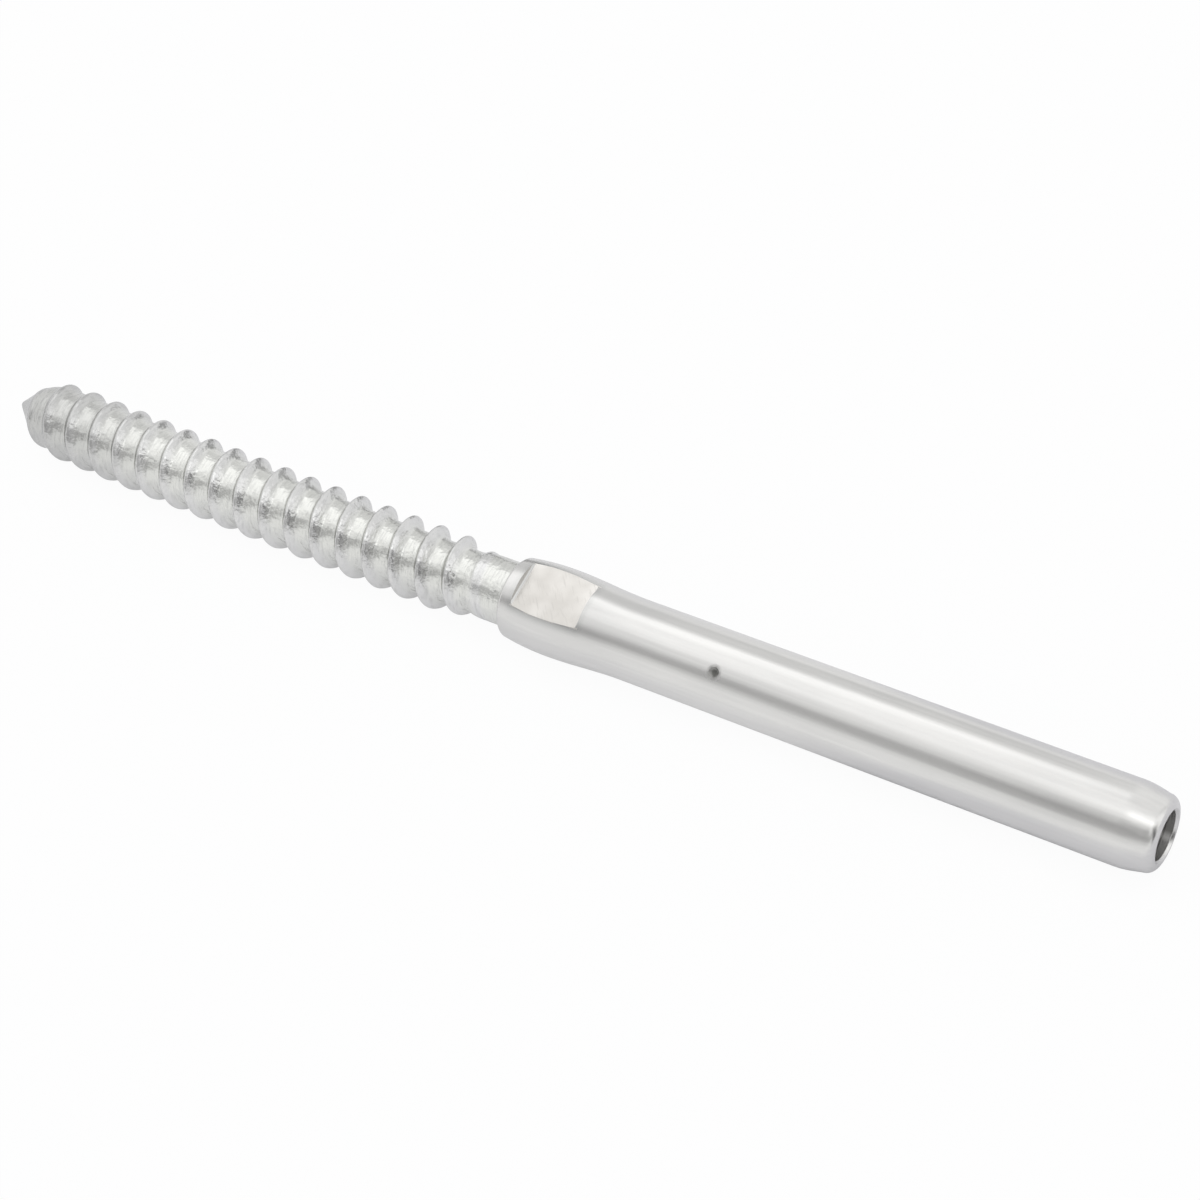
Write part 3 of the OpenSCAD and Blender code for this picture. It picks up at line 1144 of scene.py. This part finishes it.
def card_paint(name, brightness, stops, far_stops=None, change=(0, 1)):
    """Light of a card: stops go from its low to its high angle. Towards -X far_stops take over, and
    change holds the two places along the card, from 0 to 1, between which one fades into the other."""
    material = bpy.data.materials.new(name)
    recipe = Recipe(material)
    place = recipe.add("ShaderNodeTexCoord", out="Generated")
    across = recipe.axis(place, "Y")
    shade = grey_ramp(recipe, across, stops)
    if far_stops:
        near = recipe.spread(recipe.axis(place, "X"), *change, 0, 1)
        shade = recipe.blend(near, grey_ramp(recipe, across, far_stops), shade)
    light = recipe.add("ShaderNodeEmission", {}, {"Color": shade, "Strength": brightness})
    recipe.add("ShaderNodeOutputMaterial", {}, {"Surface": light})
    return material


# %% [markdown]
# ## Two soft lights above
#
# The broad bright band along the top of the tube is a soft light that the steel mirrors. It is made of
# two cards, because they end at different places: the one straight above reaches over the whole part,
# and the one behind it stops where only the drawn-in end of the tube would see it, which stays darker.

# %% Hang the soft lights
SOFT_LIGHT = 1.42
CARD_FAR_X = -0.42
SOFT_END_X = -0.02
FRONT_END_X = 0.5
SOFT_LOW_ANGLES = (-10, 15)
SOFT_HIGH_ANGLES = (15, 49)
LOW_CHANGE = (0.27, 0.31)
HIGH_CHANGE = (0.62, 0.72)

low_near = [(0, 0.74), (0.3, 0.88), (0.7, 0.86), (1, 0.83)]
low_far = [(0, 0.74), (0.3, 0.87), (1, 0.95)]
low_paint = card_paint("soft_low", SOFT_LIGHT, low_near, low_far, LOW_CHANGE)
long_card("soft_low", SOFT_LOW_ANGLES, (CARD_FAR_X, FRONT_END_X), low_paint)

high_near = [(0, 0.83), (0.4, 0.86), (0.7, 1.06), (1, 1.1)]
high_far = [(0, 0.95), (0.6, 0.98), (1, 0.92)]
high_paint = card_paint("soft_high", SOFT_LIGHT, high_near, high_far, HIGH_CHANGE)
long_card("soft_high", SOFT_HIGH_ANGLES, (CARD_FAR_X, SOFT_END_X), high_paint)

# %% [markdown]
# ## The dark card
#
# A thin dark line runs along the tube under the bright band, and without it the tube would look flat.
# It is the image of one long dark card on the camera's side. A gap in the lights would give a line too,
# but a card with its own ramp can be as dark as it has to be, and fades into the room at both edges.

# %% Stand up the dark card
ROOM = 1.0
DARK_ANGLES = (-77, -26)
DARK_CHANGE = (0.33, 0.41)

dark_near = [(0, 0.97), (0.25, 0.85), (0.43, 0.47), (0.62, 0.43), (0.85, 0.76), (1, 0.98)]
dark_far = [
    (0, 1.03),
    (0.2, 1),
    (0.36, 0.84),
    (0.47, 0.56),
    (0.6, 0.44),
    (0.72, 0.48),
    (0.85, 0.74),
    (1, 0.98),
]
dark_paint = card_paint("dark_card", ROOM, dark_near, dark_far, DARK_CHANGE)
long_card("dark_card", DARK_ANGLES, (CARD_FAR_X, FRONT_END_X), dark_paint)

# %% [markdown]
# ## Behind the tube and before its end
#
# The upper side of the tube turns away from the camera and mirrors what stands low behind it. A white
# room there would let the edge vanish against the white floor, so a grey card keeps it. A short dim card
# stands on the camera's side, where the drawn-in end of the tube mirrors it, and shades that end.

# %% Stand up the back card and the dim card
BACK_ANGLES = (57, 90)
BACK_LIGHT = 0.8
DIM_ANGLES = (-40, -21)
DIM_ENDS = (-0.03, 0.15)
DIM_LIGHT = 0.5

back_paint = card_paint("back_card", BACK_LIGHT, EVEN)
long_card("back_card", BACK_ANGLES, (CARD_FAR_X, SOFT_END_X), back_paint)
dim_paint = card_paint("dark_front", DIM_LIGHT, [(0, 1), (0.6, 1), (1, 1.6)])
long_card("dark_front", DIM_ANGLES, DIM_ENDS, dim_paint)

# %% [markdown]
# ## The card before the mouth
#
# The flat end of the tube and its rounded rim look along the axis, past all the long cards. One upright
# card before the mouth gives them their light. Its shades run from the camera's side to the far side,
# with a dark band between, so the rim is dark on one side and bright on the other.

# %% Stand up the end card
END_CARD_X = 0.45
END_CARD_SIZE = 1.1
END_LIGHT = 1.2

end_shades = [
    (0, 0.8),
    (0.3, 0.8),
    (0.36, 0.35),
    (0.4, 0.05),
    (0.46, 0.05),
    (0.5, 0.5),
    (0.55, 0.95),
    (0.6, 1.05),
    (0.7, 1),
    (0.84, 0.75),
    (1, 0.6),
]
end_paint = card_paint("end_card", END_LIGHT, end_shades)
card("end_card", (END_CARD_SIZE, END_CARD_SIZE), (END_CARD_X, 0, 0), (0, -math.pi / 2, 0), end_paint)

# %% [markdown]
# ## Two small cards for the screw
#
# A thread has surfaces that face every way, so it needs a few lights of its own. A dim card lies on the
# floor behind the screw and gives the upper side of its crests a darker edge against the white. A small
# bright card hangs above the tube, where the flanks that face the tube mirror it, and they glint.

# %% Lay and hang the small cards
PATCH_X = (-0.036, -0.008)
PATCH_Y = (0.012, 0.036)
PATCH_ABOVE_FLOOR = 0.0002
PATCH_LIGHT = 0.35
SPOT_X = (0.03, 0.2)
SPOT_WIDTH = 0.06
SPOT_Y = -0.014
SPOT_Z = 0.27
SPOT_LIGHT = 1.75
LEVEL = (0, 0, 0)

patch_size = (PATCH_X[1] - PATCH_X[0], PATCH_Y[1] - PATCH_Y[0])
patch_place = (sum(PATCH_X) / 2, sum(PATCH_Y) / 2, cad_low.z + PATCH_ABOVE_FLOOR)
card("floor_card", patch_size, patch_place, LEVEL, card_paint("floor_card", PATCH_LIGHT, EVEN))

spot_size = (SPOT_X[1] - SPOT_X[0], SPOT_WIDTH)
spot_place = (sum(SPOT_X) / 2, SPOT_Y, SPOT_Z)
card("spot_card", spot_size, spot_place, LEVEL, card_paint("spot_card", SPOT_LIGHT, EVEN))

# %% [markdown]
# ## The room
#
# Where the steel mirrors no card it mirrors the room, which is plain white. An image of a real studio
# could stand here, but it would bring in windows and colours that this steel doesn't show. For surfaces
# that are only lit, such as the floor, the room is a little dimmer, so that they stay below white.

# %% Paint the room
ROOM_LIT = 0.8

world = bpy.data.worlds.new("studio")
bpy.context.scene.world = world
room = Recipe(world)
share = by_ray(room, 1, 1)
strength = room.add("ShaderNodeMix", {"data_type": "FLOAT"}, {0: share, 2: ROOM_LIT, 3: ROOM})
light = room.add("ShaderNodeBackground", {}, {"Color": (1, 1, 1, 1), "Strength": strength})
room.add("ShaderNodeOutputWorld", {}, {"Surface": light})
print("room:", len(world.node_tree.nodes), "nodes")

# %% [markdown]
# ## The lamp
#
# A piece without a shadow seems to float. The room alone gives hardly any, so one large area lamp hangs
# overhead. A sun would throw a hard shadow, and a wide lamp throws a faint soft one. The steel doesn't
# mirror it, because the cards already draw its bands.

# %% Hang the lamp
LAMP_SIZE = (0.6, 0.3)
LAMP_PLACE = (0, 0.05, 0.5)
LAMP_WATTS = 1.0

lamp_data = bpy.data.lights.new("overhead", "AREA")
lamp_data.shape = "RECTANGLE"
lamp_data.size, lamp_data.size_y = LAMP_SIZE
lamp_data.energy = LAMP_WATTS
lamp = bpy.data.objects.new("overhead", lamp_data)
lamp.location = LAMP_PLACE
lamp.visible_glossy = False
lamp.visible_camera = False
bpy.context.scene.collection.objects.link(lamp)
bpy.context.scene.view_settings.view_transform = "Standard"
print("lamp:", LAMP_WATTS, "W at", LAMP_PLACE)
